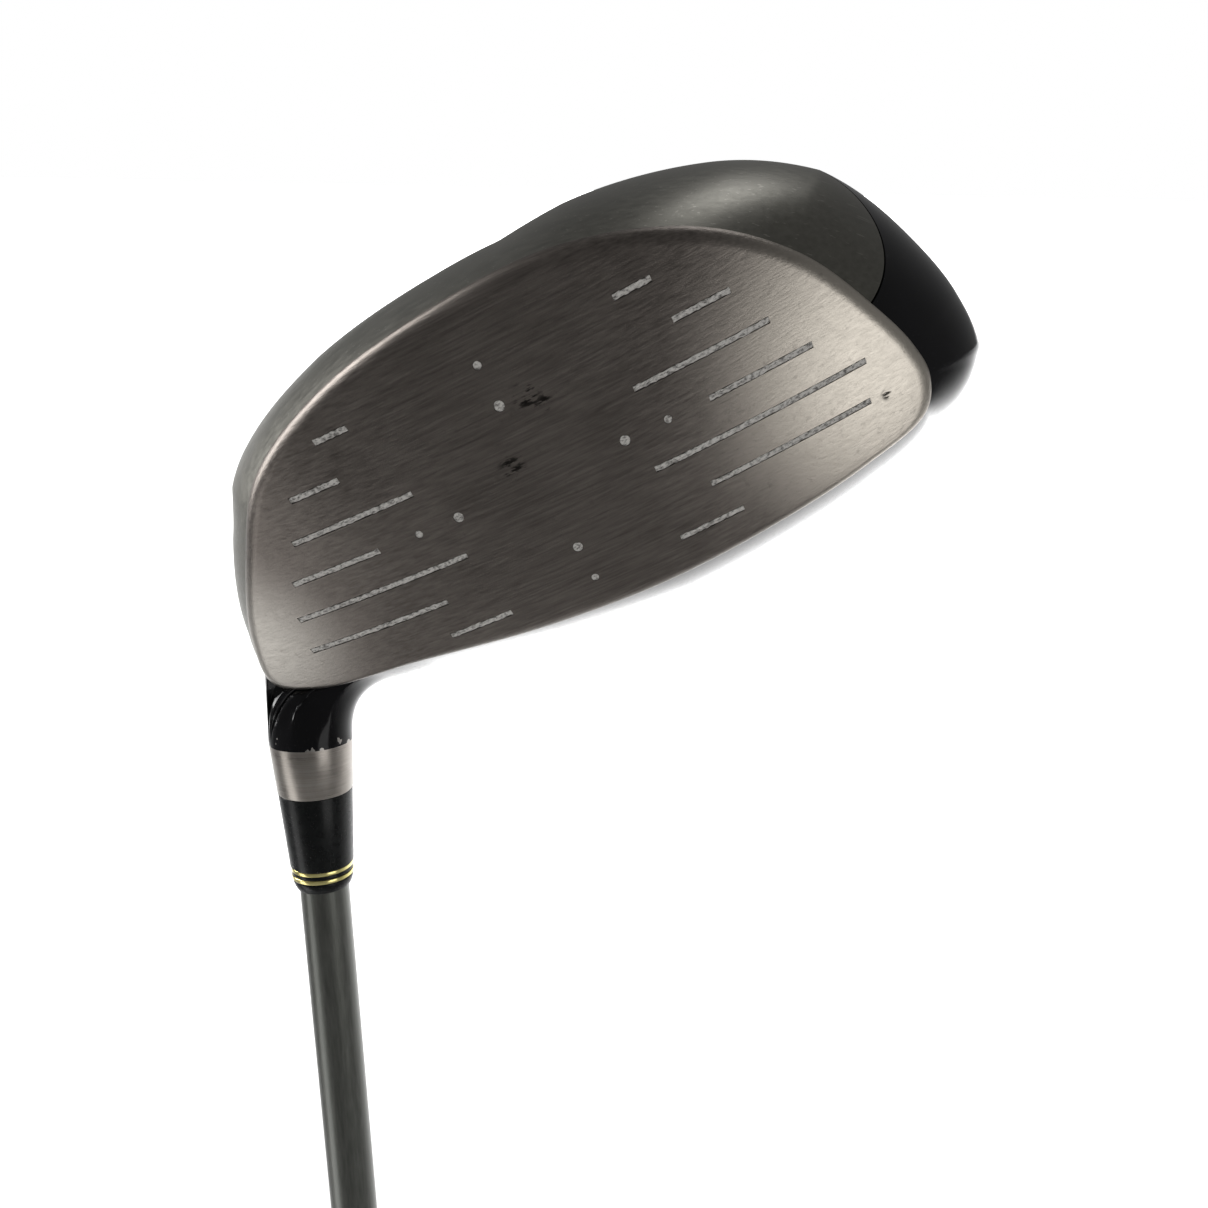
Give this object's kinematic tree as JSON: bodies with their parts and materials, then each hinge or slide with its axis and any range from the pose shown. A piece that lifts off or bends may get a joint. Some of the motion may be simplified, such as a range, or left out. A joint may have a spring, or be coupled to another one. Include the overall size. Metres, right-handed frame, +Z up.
{
  "type": "golf driver",
  "caption": "Full-length golf driver: hollow metal head with scored face, bonded ferrule and tapered shaft, rubber grip with vented cap.",
  "frame": {"origin": "centre of the end face of the grip's cap", "axes": "+Z up the shaft from the grip to the head; the face looks along -Y; the toe points along +X and a little along +Z"},
  "size_m": [0.1276, 0.1012, 1.1716],
  "materials": {
    "face_metal": "brushed along the score lines, satin",
    "score_paint": "worn light paint fill",
    "crown_paint": "gloss black lacquer with wear at the neck",
    "sole_metal": "fine satin",
    "hosel_metal": "turned satin",
    "weight_metal": "raw",
    "damping_gum": "tacky",
    "plug_plastic": "moulded",
    "adhesive": "cured",
    "ferrule_plastic": "polished black",
    "ring_gold": "polished",
    "shaft_graphite": "clear-coated grey graphite",
    "tip_brass": "raw",
    "tape_paper": "crepe tape",
    "grip_rubber": "matt, patterned",
    "cap_rubber": "matt"
  },
  "bodies": {
    "root": {"face_plate": "face_metal", "score_fill": "score_paint", "crown_shell": "crown_paint", "sole_shell": "sole_metal", "hosel": "hosel_metal", "rear_weight": "weight_metal", "damping_pad": "damping_gum", "hosel_plug": "plug_plastic", "hosel_bond": "adhesive", "ferrule_body": "ferrule_plastic", "ferrule_ring_lower": "ring_gold", "ferrule_spacer": "ferrule_plastic", "ferrule_ring_upper": "ring_gold", "ferrule_end": "ferrule_plastic", "shaft_tube": "shaft_graphite", "tip_weight": "tip_brass", "grip_tape": "tape_paper", "grip_sleeve": "grip_rubber", "grip_cap": "cap_rubber"}
  },
  "joints": []
}
